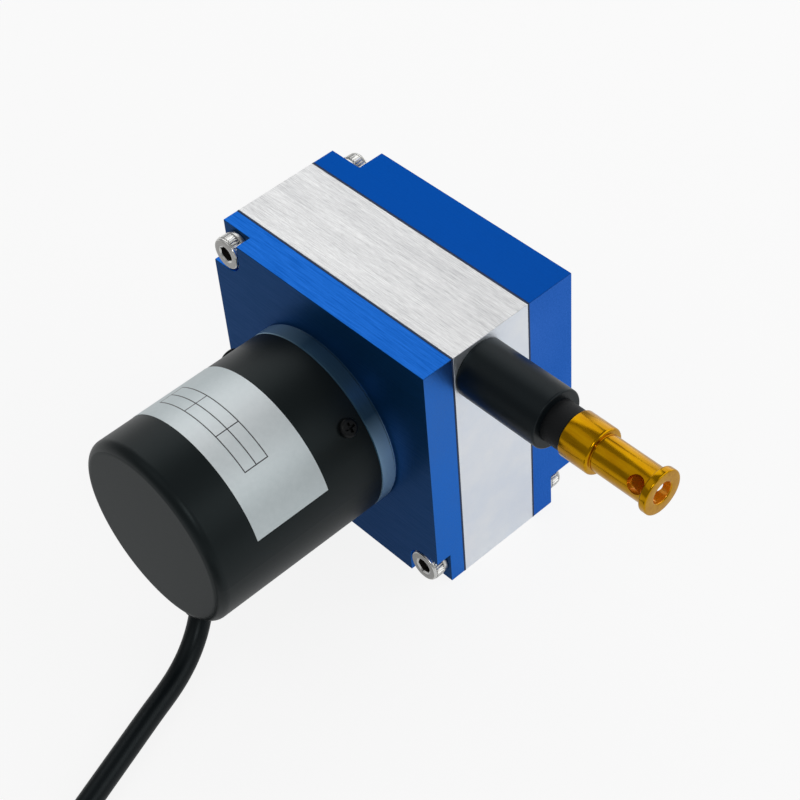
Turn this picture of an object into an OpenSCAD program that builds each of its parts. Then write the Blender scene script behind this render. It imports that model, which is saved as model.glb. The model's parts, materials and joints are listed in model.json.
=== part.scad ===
// Draw wire encoder: a spring-returned wire drum in a square housing of three
// metal layers turns a multi-turn potentiometer inside a round can.
// Millimetres. The unit stands on its bottom face with +Z up. The wire is drawn
// out along +X and the can points along -Y. The origin is midway between the
// two mounting holes in the bottom face.

/* [Housing] */
// Side of the square plates and of the frame between them
side = 60; // [58:1:80]
// Depth of the frame along Y
frame_d = 19.2; // [19.2:0.2:30]
// Thickness of the front plate, which carries the can
front_t = 7; // [6.6:0.1:12]
// Thickness of the back plate, which holds the power spring
back_t = 11.2; // [10.4:0.1:16]
// Thickness of the gasket on each side of the frame
gasket_t = 0.4; // [0.2:0.1:1]
// Width of the square notch round each plate screw
notch_w = 8; // [7.8:0.1:9]
// Depth of the notches in the front plate
front_notch = 3.5; // [2:0.1:4]
// Depth of the notches in the back plate
back_notch = 6.1; // [4:0.1:7]
// Distance from a plate screw to the two nearest edges
screw_inset = 4.2; // [3.8:0.1:4.4]
// Distance between the two mounting holes in the bottom face
mount_pitch = 40; // [36:1:43]
// Tapping radius of the mounting holes
mount_r = 1.65; // [1.2:0.05:2]
// Depth of the mounting holes
mount_depth = 8; // [4:0.5:10]

/* [Screws] */
// Thread diameter of the plate screws
plate_screw_d = 4; // [3:0.1:4.2]
// Head diameter of the plate screws
plate_head_d = 7; // [6:0.1:7.4]
// Head height of the plate screws
plate_head_h = 2.7; // [2:0.1:4]
// Length of the plate screws under the head
plate_screw_l = 12; // [10:0.5:13]
// Thickness of the spring washers under the plate screws' heads
washer_t = 1; // [0.6:0.1:1.4]
// Outer diameter of the spring washers
washer_d = 6.8; // [5.6:0.1:7.2]
// Width across flats of the hexagon sockets
socket_af = 3; // [2:0.1:3.4]
// Thread diameter of the screws inside the can
small_screw_d = 3; // [2.5:0.1:3]
// Thread diameter of the screws that hold the can
can_screw_d = 2; // [1.6:0.1:2.5]
// Head diameter of the screws that hold the can
can_head_d = 3.8; // [3:0.1:4.2]

/* [Wire and drum] */
// Diameter of the measuring wire
wire_d = 0.6; // [0.4:0.05:0.8]
// Distance between neighbouring turns of wire on the drum
wire_pitch = 0.7; // [0.6:0.05:0.9]
// Number of turns wound beside the one that leaves the drum
wound_turns = 12; // [8:1:13]
// Gap between the wound wire and the chamber round it
chamber_gap = 2.8; // [2.4:0.1:3.2]
// Height of the drum flanges over the middle of the wire
flange_h = 1.8; // [0.8:0.1:2]
// Radius of the drum hub
hub_r = 7; // [6:0.1:8]
// Diameter of the spindle
spindle_d = 6; // [5:0.1:6.2]

/* [Bearings] */
// Outer diameter of the two ball bearings
bearing_d = 13; // [12.6:0.1:13.6]
// Width of the two ball bearings
bearing_w = 3.5; // [3:0.1:4]
// Number of balls in each bearing
ball_count = 8; // [6:1:9]

/* [Power spring] */
// Width of the spring strip
strip_w = 5; // [4:0.1:5.1]
// Thickness of the spring strip
strip_t = 0.5; // [0.3:0.05:0.7]
// Number of turns between the arbor and the anchor pin
spring_turns = 8; // [5:1:9]
// Radius of the spring arbor
arbor_r = 6; // [5:0.1:6.4]

/* [Wire outlet] */
// Distance from the outlet axis down from the top of the frame
outlet_drop = 6.8; // [6.6:0.1:7.2]
// Distance of the outlet axis in front of the middle of the frame
outlet_f = 3.2; // [2.8:0.1:3.4]
// Diameter of the wire guide
guide_d = 12.3; // [11:0.1:12.8]
// Length of the wire guide outside the frame
guide_l = 19.4; // [15:0.1:40]
// Rounding of the guide's front edge
guide_round = 0.4; // [0.3:0.1:1.5]
// Diameter of the guide's spigot in the frame
spigot_d = 8; // [6:0.1:8.4]
// Length of the guide's spigot
spigot_l = 11.7; // [8:0.1:12]

/* [Wire terminal] */
// Diameter of the rubber buffer behind the terminal
buffer_d = 8.7; // [7:0.1:9.4]
// Length of the rubber buffer
buffer_l = 4.5; // [1:0.1:8]
// Diameter of the terminal's shoulder
shoulder_d = 9.6; // [9:0.1:12]
// Length of the terminal's shoulder
shoulder_l = 6.8; // [5:0.1:12]
// Diameter of the terminal's neck
neck_d = 7.5; // [6.6:0.1:8.6]
// Length of the terminal's neck
neck_l = 12; // [8:0.1:20]
// Diameter of the terminal's end flange
end_d = 9.3; // [8.8:0.1:12]
// Thickness of the terminal's end flange
end_t = 1.6; // [1:0.1:4]
// Diameter of the bore in the terminal's open end
bore_d = 4.5; // [4:0.1:5]
// Thickness of the terminal's floor, which the wire's ferrule pulls against
floor_t = 4; // [1:0.1:6]
// Diameter of the wire's ferrule
ferrule_d = 3.5; // [2.6:0.1:3.7]
// Diameter of the cross hole in the terminal's neck
cross_d = 3.6; // [2:0.1:4]
// Direction of the cross hole, up from the back
cross_angle = 147.5; // [0:0.5:180]

/* [Can] */
// Outer diameter of the can and of the ring behind it
can_d = 40.4; // [34:0.1:48]
// Length of the can
can_l = 40.1; // [32:0.1:60]
// Wall of the can
can_wall = 1.2; // [1:0.1:1.3]
// Thickness of the can's end
can_end = 1.5; // [1:0.1:2]
// Rounding of the can's end edge
can_round = 2.2; // [0.5:0.1:3]
// Thickness of the ring between the front plate and the can
ring_t = 3.8; // [3.4:0.1:8]
// Length of the ring's spigot inside the can
ring_spigot_l = 7.2; // [6.4:0.1:10]
// Direction of the first can screw, up from the right
can_screw_angle = 38.9; // [30:0.1:50]

/* [Sensor] */
// Gap between the potentiometer's body and the screw heads round it
pot_side_gap = 0.4; // [0.2:0.1:2]
// Gap between the potentiometer's body and the circuit board
pot_end_gap = 1.5; // [1:0.1:4]
// Thickness of the bracket that holds the potentiometer
bracket_t = 2; // [1.5:0.1:3]
// Length of the shaft coupling
coupling_l = 12; // [10:0.5:16]
// Diameter of the shaft coupling
coupling_d = 12; // [10:0.5:13]
// Thickness of the circuit board
board_t = 1.6; // [1:0.1:2]

/* [Cable] */
// Diameter of the cable
cable_d = 4.6; // [3:0.1:4.8]
// Diameter of each core in the cable
core_d = 1.2; // [0.8:0.1:1.4]
// Middle radius of the coil of spare cable
coil_r = 27; // [24:0.5:30]
// Thickness of the strap round the coil
strap_t = 0.8; // [0.5:0.1:1.2]
// Width of the strap round the coil
strap_w = 3.6; // [2:0.1:6]

/* [Hidden] */
$fn = 96;

cut = 0.5;          // how far a cut runs past the face it opens
fit = 0.05;         // radial gap of a screw, bush or journal in its hole
seat_gap = 0.05;    // gap between faces of pieces that move past each other
loose = 0.2;        // radial gap of a screw in a clearance hole

// Places along the spindle axis are distances in front of the frame's middle.
axis_z = side / 2;
front_in = frame_d / 2 + gasket_t;
front_face = front_in + front_t;
back_in = -frame_d / 2 - gasket_t;
back_face = back_in - back_t;
corner_at = side / 2 - screw_inset;
notch_r = notch_w - screw_inset;
corners = [90, 180, 270];   // turns that bring the upper right corner to each screw
washer_slit = 1;
washer_slit_at = 20;

// Wire and drum
outlet_z = side - outlet_drop;
wind_r = outlet_z - axis_z;         // spindle axis to the middle of the wire
chamber_r = wind_r + chamber_gap;
tread_gap = 0.02;
tread_r = wind_r - wire_d / 2 - tread_gap;
drum_front = outlet_f + wire_d;     // inner face of the drum's front flange
drum_rear = outlet_f - wound_turns * wire_pitch - wire_d;
flange_t = 1;
rim_t = 2.4;
web_t = 4;
web_hole_r = 4.4;
web_holes = 6;
nose_r = 4;                         // what touches a bearing's inner ring
nose_l = 0.6;
spindle_r = spindle_d / 2;
hub_rear = back_in + 0.7;
set_screw_f = front_in - 4.5;
set_screw_gap = 0.25;               // a set screw's end below the face it screws into

// Bearings
race_r = (bearing_d / 2 + spindle_r) / 2;   // middle of the balls
ball_r = (bearing_d / 2 - spindle_r) * 0.357;
race_gap = 0.05;
inner_race_r = race_r - 0.85;
outer_race_r = race_r + 0.85;
front_bearing_f = front_in + bearing_w / 2;
pocket_l = strip_w + 0.6;
rear_seat_in = back_in - pocket_l;
rear_bearing_f = rear_seat_in - bearing_w / 2;
clip_t = 0.7;
clip_r = 4.3;
clip_groove = 0.4;
shaft_hole_r = 5.2;

// Power spring
cover_t = 0.4;
cover_r = chamber_r + 1.5;
pocket_r = chamber_r - 2;
pin_r = 0.95;
strip_rim = pocket_r - 2 * pin_r - strip_t / 2 - 0.25;   // strip's middle at the pin
strip_start = arbor_r + strip_t / 2 + 0.1;
strip_steps = 20;

// Outlet and terminal, as distances along X
wall_x = side / 2;
guide_face = wall_x + guide_l;
buffer_x = guide_face + seat_gap;
terminal_x = buffer_x + buffer_l + seat_gap;
wire_hole_r = wire_d;
bush_d = 6;
bush_l = 5;
bush_flare = 1;                     // chamfer at each end of the bush's hole
guide_bore_r = 1.5;
terminal_l = shoulder_l + neck_l + end_t;
edge = 0.25;                        // small chamfer on turned edges
ferrule_l = 6;
ferrule_r = ferrule_d / 2;
ferrule_x = terminal_x + floor_t + seat_gap;
socket_r = ferrule_r + 0.15;        // the ferrule turns in this narrow end of the bore
socket_end = floor_t + ferrule_l + 0.3;
cross_from_end = end_t + cross_d / 2 + 0.1;

// Can and ring
can_r = can_d / 2;
can_inner_r = can_r - can_wall;
ring_face = front_face + ring_t;
can_start = ring_face + seat_gap;
can_tip = can_start + can_l;
ring_spigot_r = can_inner_r - 0.1;
ring_inner_r = ring_spigot_r - 2.2;
ring_hole_r = 9;
can_screw_f = ring_face + 3.5;
seal_f = ring_face + 5.8;
seal_t = 1.2;
seal_proud = 0.08;                  // what the seal stands out of its groove
can_screw_angles = [for (i = [0:2]) can_screw_angle + i * 120];

// Sensor stack inside the can, from the front plate and from the can's end
pillar_r = 2.5;
pillar_at = ring_inner_r - pillar_r - 0.2;
pillar_angles = [45, 165, 285];
board_pillar_angles = [105, 225, 345];
small_r = small_screw_d / 2;
small_head_r = small_r + 1.1;
small_head_h = 1.8;
small_reach = 5;                    // thread of a small screw past what it holds
small_hole = small_reach + 0.5;
coupling_start = front_face + 1.6;
coupling_end = coupling_start + coupling_l;
coupling_mid = (coupling_start + coupling_end) / 2;
coupling_screw_in = 2.2;            // from a coupling screw to the coupling's end
coupling_screw_f = [coupling_start + coupling_screw_in, coupling_end - coupling_screw_in];
coupling_screw_r = 1.2;
slit_t = 0.4;
slit_pitch = 0.96;
shaft_gap = 1.5;                    // between the two shafts in the coupling
spindle_front = coupling_mid - shaft_gap / 2;
pot_shaft_front = coupling_mid + shaft_gap / 2;
nut_l = 2;
nut_over = 2.6;                     // the nut's corners past its thread
bracket_f = coupling_end + nut_l + 1.6;
bracket_back = bracket_f + bracket_t;
bracket_r = ring_spigot_r - 0.6;
bush_r = 4.7;                       // potentiometer's threaded bush
bush_front = bracket_f - nut_l - 1;
pot_shaft_back = bracket_back + 3.3;
pot_r = pillar_at - small_head_r - pot_side_gap;
chip = [8, 6, 1.5];
driver = [4, 5, 1.2];
resistor = [1.6, 0.8, 0.5];
resistor_pitch = 2.4;
resistor_count = 4;
tall_cap = [2, 2.6];                // radius and height
short_cap = [1.6, 2.2];
can_end_gap = 1.5;                  // between the tallest component and the can's end
board_back = can_tip - can_end - can_end_gap - tall_cap[1];
board_f = board_back - board_t;
pot_end = board_f - pot_end_gap;
board_r = can_inner_r - 2;
lug = [1.2, 0.6];
lug_pitch = 4;

// Cable
exit_angle = -76;                   // round the can, up from the right
exit_lean = 35;                     // towards the can's end
exit_from_tip = 5.4;
sleeve_r = cable_d / 2 + 0.8;
sleeve_in = 4;                      // reach of the sleeve inside the can
sleeve_out = 3.4;                   // reach of the sleeve outside the can
sleeve_room = 1.4;                  // between the sleeve and the circuit board
cable_r = cable_d / 2;
cable_sides = 10;
// Middle line of the cable from inside its sleeve to the coil
cable_route = [
    [4.1, -53.2, 13.6], [4.9, -55.5, 10.4], [5.5, -57.2, 8.1], [6.8, -59.8, 5.6],
    [8.3, -63.1, 3.7], [9.8, -66.8, 2.6], [11.4, -71, 2.3], [13.4, -77, 2.3],
    [15.5, -83, 2.3], [17.6, -89, 2.3], [19.7, -95, 2.3], [21.8, -101, 2.3],
    [23.9, -107, 2.3], [26.1, -113, 2.3], [28.5, -119.5, 2.3], [31.9, -128.3, 2.3]
];
coil_centre = [61, -116];
coil_wide = 3 * cable_d;
coil_high = 2 * cable_d;
tie_angle = 75;
tail_start = 301;                   // where the tail leaves the coil's top turn
tail_down = 351;                    // where it reaches the surface
tail_end = 381;
tail_step = 10;
core_reach = 22;
lead_pitch = 1.3;
// Bend of the cores inside the can: inwards and forwards from the cable's end
lead_bend = [[0, 0], [-0.9, -0.6], [-1.8, -1.2], [-2.8, -1.4], [-3.5, -1]];
lead_land = -3.7;

// ---- shared shapes ----

// Turns local Z to the front (-Y) on the spindle axis, with local X and Y across
module spindle() translate([0, 0, axis_z]) rotate([90, 0, 0]) children();

// Turns local Z to +X on the outlet axis, starting at x
module outlet(x) translate([x, -outlet_f, outlet_z]) rotate([0, 90, 0]) children();

module at_corners() for (a = corners) rotate([0, 0, a]) translate([corner_at, corner_at, 0]) children();

module around(angles, r) for (a = angles) rotate([0, 0, a]) translate([r, 0, 0]) children();

// Cylinder of radius r from z = a to z = b
module disc(r, a, b) translate([0, 0, a]) cylinder(r = r, h = b - a);

module tube(r_out, r_in, a, b) difference() {
    disc(r_out, a, b);
    disc(r_in, a - cut, b + cut);
}

// Half profile of a bar whose top outer edge is rounded
module rounded_half(r, h, round) {
    square([r - round, h]);
    square([r, h - round]);
    translate([r - round, h - round]) circle(round);
}

// Square slab from z = a to z = b
module slab(a, b) translate([-side / 2, -side / 2, a]) cube([side, side, b - a]);

// Open corner round a plate screw, with its inner corner rounded about the screw
module notch(depth) linear_extrude(depth + cut) {
    circle(notch_r);
    translate([0, -notch_r]) square([screw_inset + cut, notch_w + cut]);
    translate([-notch_r, 0]) square([notch_w + cut, screw_inset + cut]);
}

// Screw with its seat at z = 0, its head above and its thread below
module socket_screw(d, l, head_d, head_h, af) difference() {
    union() {
        disc(d / 2, -l, 0);
        rotate_extrude() polygon([
            [0, 0], [head_d / 2, 0], [head_d / 2, head_h - edge],
            [head_d / 2 - edge, head_h], [0, head_h]
        ]);
    }
    translate([0, 0, head_h * 0.4]) cylinder(d = af / cos(30), h = head_h, $fn = 6);
}

// Pan head screw with a cross recess
module pan_screw(d, l, head_d, head_h) difference() {
    union() {
        disc(d / 2, -l, 0);
        rotate_extrude() rounded_half(head_d / 2, head_h, head_h * 0.45);
    }
    for (a = [0, 90]) rotate([0, 0, a])
        translate([-head_d * 0.28, -head_d * 0.07, head_h * 0.45])
            cube([head_d * 0.56, head_d * 0.14, head_h]);
}

// Headless socket screw with its tip at z = 0
module set_screw(d, l, af) difference() {
    disc(d / 2, 0, l);
    translate([0, 0, l / 2]) cylinder(d = af / cos(30), h = l, $fn = 6);
}

// Inner ring, outer ring and balls of a bearing centred at z = 0
module inner_ring() rotate_extrude() difference() {
    translate([spindle_r, -bearing_w / 2]) square([inner_race_r - spindle_r, bearing_w]);
    translate([race_r, 0]) circle(ball_r + race_gap);
}

module outer_ring() rotate_extrude() difference() {
    translate([outer_race_r, -bearing_w / 2]) square([bearing_d / 2 - outer_race_r, bearing_w]);
    translate([race_r, 0]) circle(ball_r + race_gap);
}

module balls() for (i = [0:ball_count - 1]) rotate([0, 0, i * 360 / ball_count])
    translate([race_r, 0, 0]) sphere(ball_r, $fn = 32);

// Unit vector
function unit(v) = v / norm(v);

// Direction of a line of points at point i
function heading(p, i) = unit(p[min(i + 1, len(p) - 1)] - p[max(i - 1, 0)]);

// Round tube along a line of points; side_ref is never along the line
module sweep(p, r, sides, side_ref) {
    rings = [for (i = [0:len(p) - 1])
        let (t = heading(p, i), u = unit(cross(t, side_ref)), v = cross(t, u))
        for (k = [0:sides - 1]) p[i] + r * (cos(k * 360 / sides) * u + sin(k * 360 / sides) * v)];
    walls = [for (i = [0:len(p) - 2], k = [0:sides - 1])
        let (a = i * sides + k, b = i * sides + (k + 1) % sides)
        each [[a, b, a + sides], [b, b + sides, a + sides]]];
    last = (len(p) - 1) * sides;
    polyhedron(rings, concat([[for (k = [sides - 1:-1:0]) k]], walls,
        [[for (k = [0:sides - 1]) last + k]]));
}

// ---- housing ----

module frame_block() color("gainsboro") {
    difference() {
        spindle() difference() {
            slab(-frame_d / 2, frame_d / 2);
            disc(chamber_r, -frame_d, frame_d);
            at_corners() disc(plate_screw_d / 2 + fit, -frame_d, frame_d);
        }
        outlet(wall_x - spigot_l - seat_gap) cylinder(d = spigot_d + 2 * fit, h = spigot_l + cut + seat_gap);
        outlet(0) cylinder(r = 2 * wire_d, h = wall_x);
        for (s = [-1, 1]) translate([s * mount_pitch / 2, 0, -cut])
            cylinder(r = mount_r, h = mount_depth + cut);
    }
}

module front_plate() color("royalblue") spindle() difference() {
    slab(front_in, front_face);
    at_corners() translate([0, 0, front_face - front_notch]) notch(front_notch);
    at_corners() disc(plate_screw_d / 2 + loose, front_in - cut, front_face);
    disc(bearing_d / 2, front_in - cut, front_in + bearing_w);
    disc(shaft_hole_r, front_in, front_face + cut);
    around(board_pillar_angles, pillar_at) disc(small_r + fit, front_in + 1, front_face + cut);
}

module back_plate() color("royalblue") spindle() difference() {
    slab(back_face, back_in);
    at_corners() mirror([0, 0, 1]) translate([0, 0, -back_face - back_notch]) notch(back_notch);
    at_corners() disc(plate_screw_d / 2 + loose, back_face, back_in + cut);
    disc(cover_r + fit, back_in - cover_t, back_in + cut);
    disc(pocket_r, rear_seat_in, back_in + cut);
    disc(bearing_d / 2, rear_seat_in - bearing_w, back_in);
    disc(inner_race_r + 0.3, rear_seat_in - bearing_w - 0.3, back_in);
    translate([pocket_r - pin_r - 0.1, 0, 0]) disc(pin_r, rear_seat_in - 2, back_in);
}

module gasket(a, b) difference() {
    slab(a, b);
    disc(chamber_r + loose, a - cut, b + cut);
    at_corners() disc(plate_screw_d / 2 + 2 * loose, a - cut, b + cut);
}

module front_gasket() color("dimgray") spindle() gasket(frame_d / 2, front_in);

module back_gasket() color("dimgray") spindle() gasket(back_in, -frame_d / 2);

module plate_screw() socket_screw(plate_screw_d, plate_screw_l, plate_head_d, plate_head_h, socket_af);

// Split ring on the floor of a notch, under a plate screw's head
module washer() difference() {
    tube(washer_d / 2, plate_screw_d / 2 + 2 * fit, 0, washer_t);
    rotate([0, 0, washer_slit_at]) translate([0, -washer_slit / 2, -cut])
        cube([washer_d, washer_slit, washer_t + 2 * cut]);
}

// Places on the notch floors of the front plate, local Z outwards
module front_seats() spindle() at_corners() translate([0, 0, front_face - front_notch]) children();

module back_seats() spindle()
    at_corners() translate([0, 0, back_face + back_notch]) mirror([0, 0, 1]) children();

module front_screws() color("silver") front_seats() translate([0, 0, washer_t]) plate_screw();

module back_screws() color("silver") back_seats() translate([0, 0, washer_t]) plate_screw();

module front_washers() color("silver") front_seats() washer();

module back_washers() color("silver") back_seats() washer();

// ---- can and its ring ----

module mount_ring() color("royalblue") spindle() difference() {
    rotate_extrude() difference() {
        polygon([
            [ring_hole_r, front_face], [can_r - edge, front_face],
            [can_r - edge, front_face + edge], [can_r, front_face + 2 * edge],
            [can_r, ring_face - edge], [can_r - edge, ring_face],
            [ring_spigot_r, ring_face], [ring_spigot_r, ring_face + ring_spigot_l],
            [ring_inner_r, ring_face + ring_spigot_l], [ring_inner_r, ring_face],
            [ring_hole_r, ring_face]
        ]);
        translate([ring_spigot_r - seal_t + seal_proud - fit / 2, seal_f - seal_t / 2 - fit])
            square([seal_t, seal_t + 2 * fit]);
    }
    around(can_screw_angles, ring_inner_r - cut) translate([0, 0, can_screw_f])
        rotate([0, 90, 0]) cylinder(d = can_screw_d + 2 * fit, h = can_wall + 3);
    around(pillar_angles, pillar_at) disc(small_r + fit, front_face - cut, ring_face + cut);
    around(board_pillar_angles, pillar_at) disc(small_r + loose, front_face - cut, ring_face + cut);
}

module ring_screws() color("silver") spindle()
    around(board_pillar_angles, pillar_at) translate([0, 0, ring_face])
        pan_screw(small_screw_d, ring_t + small_reach, 2 * small_head_r, small_head_h);

module can_seal() color("black") spindle()
    rotate_extrude() translate([ring_spigot_r - seal_t / 2 + seal_proud, seal_f])
        circle(d = seal_t, $fn = 32);

// Places what passes through the can's side, local Z leaning out along the cable
module at_exit() spindle() rotate([0, 0, exit_angle]) translate([can_r, 0, can_tip - exit_from_tip])
    rotate([0, 90 - exit_lean, 0]) children();

module can_cover() color([0.13, 0.13, 0.14]) difference() {
    spindle() difference() {
        translate([0, 0, can_start]) rotate_extrude() difference() {
            rounded_half(can_r, can_l, can_round);
            rounded_half(can_inner_r, can_l - can_end, can_round / 2);
        }
        around(can_screw_angles, ring_inner_r) translate([0, 0, can_screw_f])
            rotate([0, 90, 0]) cylinder(d = can_screw_d + loose, h = can_wall + 4);
    }
    at_exit() disc(sleeve_r, -sleeve_in, sleeve_out);
}

module can_screws() color("black") spindle()
    around(can_screw_angles, can_r) translate([0, 0, can_screw_f])
        rotate([0, 90, 0]) pan_screw(can_screw_d, can_r - ring_inner_r - 0.1, can_head_d, 1.3);

module cable_sleeve() color("black") at_exit() tube(sleeve_r, cable_r, -sleeve_in, sleeve_out);

// ---- wire outlet ----

module wire_guide() color([0.15, 0.15, 0.16]) difference() {
    union() {
        outlet(wall_x) rotate_extrude() rounded_half(guide_d / 2, guide_l, guide_round);
        outlet(wall_x - spigot_l) cylinder(d = spigot_d, h = spigot_l + 1);
    }
    outlet(wall_x - spigot_l - cut) cylinder(r = guide_bore_r, h = spigot_l + guide_l);
    outlet(guide_face - bush_l) cylinder(d = bush_d, h = bush_l + cut);
}

module guide_bush() color("ivory") outlet(guide_face - bush_l) rotate_extrude() polygon([
    [wire_hole_r + bush_flare, 0], [bush_d / 2, 0], [bush_d / 2, bush_l],
    [wire_hole_r + bush_flare, bush_l], [wire_hole_r, bush_l - bush_flare], [wire_hole_r, bush_flare]
]);

// ---- bearings ----

module front_bearing_outer() color("silver") spindle() translate([0, 0, front_bearing_f]) outer_ring();
module front_bearing_inner() color("silver") spindle() translate([0, 0, front_bearing_f]) inner_ring();
module front_bearing_balls() color("white") spindle() translate([0, 0, front_bearing_f]) balls();
module rear_bearing_outer() color("silver") spindle() translate([0, 0, rear_bearing_f]) outer_ring();
module rear_bearing_inner() color("silver") spindle() translate([0, 0, rear_bearing_f]) inner_ring();
module rear_bearing_balls() color("white") spindle() translate([0, 0, rear_bearing_f]) balls();

// ---- power spring in the back plate ----

// Point on the strip, side = -1 on its inner face and 1 on its outer face
function strip_point(i, side_of) =
    let (share = i / (spring_turns * strip_steps), a = i * 360 / strip_steps,
         r = strip_start + (strip_rim - strip_start) * share + side_of * strip_t / 2)
    [r * cos(a), r * sin(a)];

module power_spring() color("steelblue") spindle()
    translate([0, 0, rear_seat_in + 0.1]) linear_extrude(strip_w) polygon(concat(
        [for (i = [0:spring_turns * strip_steps]) strip_point(i, 1)],
        [for (i = [spring_turns * strip_steps:-1:0]) strip_point(i, -1)]));

module spring_pin() color("silver") spindle() translate([pocket_r - pin_r - 0.1, 0, 0])
    disc(pin_r, rear_seat_in - 2, back_in - cover_t - 0.4);

module spring_cover() color("silver") spindle() tube(cover_r, arbor_r + 1, back_in - cover_t, back_in);

module spring_arbor() color("gold") spindle() difference() {
    union() {
        disc(arbor_r, rear_seat_in + nose_l, hub_rear);
        disc(nose_r, rear_seat_in, rear_seat_in + nose_l);
    }
    disc(spindle_r, rear_seat_in - cut, hub_rear + cut);
}

// ---- drum and spindle ----

module drum() color("gainsboro") spindle() difference() {
    rotate_extrude() polygon([
        [spindle_r, hub_rear], [hub_r, hub_rear], [hub_r, -web_t / 2], [tread_r - rim_t, -web_t / 2],
        [tread_r - rim_t, drum_rear - flange_t], [wind_r + flange_h, drum_rear - flange_t],
        [wind_r + flange_h, drum_rear], [tread_r, drum_rear], [tread_r, drum_front],
        [wind_r + flange_h, drum_front], [wind_r + flange_h, drum_front + flange_t],
        [tread_r - rim_t, drum_front + flange_t], [tread_r - rim_t, web_t / 2], [hub_r, web_t / 2],
        [hub_r, front_in - nose_l], [nose_r, front_in - nose_l], [nose_r, front_in], [spindle_r, front_in]
    ]);
    around([for (i = [0:web_holes - 1]) i * 360 / web_holes], (hub_r + tread_r - rim_t) / 2)
        disc(web_hole_r, -web_t, web_t);
    translate([0, 0, set_screw_f]) rotate([0, 90, 0]) cylinder(r = small_r + fit, h = hub_r + cut);
}

module wound_wire() color("silver") spindle() for (i = [1:wound_turns])
    translate([0, 0, outlet_f - i * wire_pitch]) rotate_extrude()
        translate([wind_r, 0]) circle(d = wire_d, $fn = 24);

module drum_set_screw() color("dimgray") spindle()
    translate([spindle_r + seat_gap, 0, set_screw_f]) rotate([0, 90, 0])
        set_screw(small_screw_d, hub_r - spindle_r - seat_gap - set_screw_gap, small_r);

module spindle_shaft() color("silver") spindle() difference() {
    disc(spindle_r, rear_seat_in - bearing_w + 0.2, spindle_front);
    translate([0, 0, front_in + bearing_w + fit])
        tube(spindle_r + cut, spindle_r - clip_groove, 0, clip_t);
}

module shaft_clip() color("dimgray") spindle() translate([0, 0, front_in + bearing_w + fit])
    difference() {
        disc(clip_r, 0, clip_t);
        disc(spindle_r - clip_groove, -cut, clip_t + cut);
        translate([0, -1, -cut]) cube([2 * clip_r, 2, clip_t + 2 * cut]);
    }

// ---- sensor stack in the can ----

module coupling() color("silver") spindle() difference() {
    tube(coupling_d / 2, spindle_r, coupling_start, coupling_end);
    for (i = [0:3]) rotate([0, 0, i % 2 * 180])
        translate([-coupling_d * 0.3, -coupling_d, coupling_mid + (i - 1.5) * slit_pitch - slit_t / 2])
            cube([coupling_d, 2 * coupling_d, slit_t]);
    for (f = coupling_screw_f) translate([0, 0, f]) rotate([0, 90, 0])
        cylinder(r = coupling_screw_r + fit, h = coupling_d);
}

module coupling_screws() color("dimgray") spindle() for (f = coupling_screw_f)
    translate([spindle_r + seat_gap, 0, f]) rotate([0, 90, 0])
        set_screw(2 * coupling_screw_r, coupling_d / 2 - spindle_r - seat_gap - set_screw_gap,
            coupling_screw_r);

module bracket_pillars() color("gold") spindle() around(pillar_angles, pillar_at) difference() {
    union() {
        disc(pillar_r, ring_face, bracket_f);
        disc(small_r, front_face + loose, ring_face);
    }
    disc(small_r + fit, bracket_f - small_hole, bracket_f + cut);
}

module sensor_bracket() color("silver") spindle() difference() {
    disc(bracket_r, bracket_f, bracket_back);
    disc(bush_r + fit, bracket_f - cut, bracket_back + cut);
    around(concat(pillar_angles, board_pillar_angles), pillar_at)
        disc(small_r + loose, bracket_f - cut, bracket_back + cut);
}

module bracket_screws() color("silver") spindle() around(pillar_angles, pillar_at)
    translate([0, 0, bracket_back])
        pan_screw(small_screw_d, bracket_t + small_reach, 2 * small_head_r, small_head_h);

// Row of the potentiometer's three lugs, grown by a gap on every side
module lugs(gap, a, b) for (i = [-1:1])
    translate([i * lug_pitch - lug[0] / 2 - gap, -pot_r / 2 - gap, a])
        cube([lug[0] + 2 * gap, lug[1] + 2 * gap, b - a]);

module potentiometer() color("midnightblue") spindle() difference() {
    union() {
        disc(pot_r, bracket_back, pot_end);
        disc(bush_r, bush_front, bracket_back);
        lugs(0, pot_end, board_back + lug[1]);
    }
    disc(spindle_r + fit, bush_front - cut, pot_shaft_back + loose);
}

module pot_nut() color("silver") spindle() difference() {
    translate([0, 0, bracket_f - nut_l]) cylinder(r = bush_r + nut_over, h = nut_l, $fn = 6);
    disc(bush_r + fit, bracket_f - nut_l - cut, bracket_f + cut);
}

module pot_shaft() color("silver") spindle() disc(spindle_r, pot_shaft_front, pot_shaft_back);

module circuit_board() color("seagreen") difference() {
    spindle() difference() {
        disc(board_r, board_f, board_back);
        around(board_pillar_angles, pillar_at) disc(small_r + loose, board_f - cut, board_back + cut);
        lugs(2 * fit, board_f - cut, board_back + cut);
    }
    at_exit() disc(sleeve_r + sleeve_room, -sleeve_in - sleeve_room, sleeve_out);
}

// Components on the circuit board, inside the circle of its screws
module board_parts() color("black") spindle() translate([0, 0, board_back]) {
    translate([-chip[0] / 2, pot_r * 0.1, 0]) cube(chip);
    translate([-pot_r * 0.93, -driver[1] / 2, 0]) cube(driver);
    translate([pot_r * 0.7, pot_r * 0.42, 0]) cylinder(r = tall_cap[0], h = tall_cap[1]);
    translate([pot_r * 0.76, -pot_r * 0.05, 0]) cylinder(r = short_cap[0], h = short_cap[1]);
    for (i = [0:resistor_count - 1])
        translate([(i - resistor_count / 2) * resistor_pitch, pot_r * 0.8, 0]) cube(resistor);
}

module board_pillars() color("gold") spindle() around(board_pillar_angles, pillar_at) difference() {
    union() {
        disc(pillar_r - loose, bracket_back, board_f);
        disc(small_r, bracket_f + loose, bracket_back);
    }
    disc(small_r + fit, board_f - small_hole, board_f + cut);
}

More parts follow.
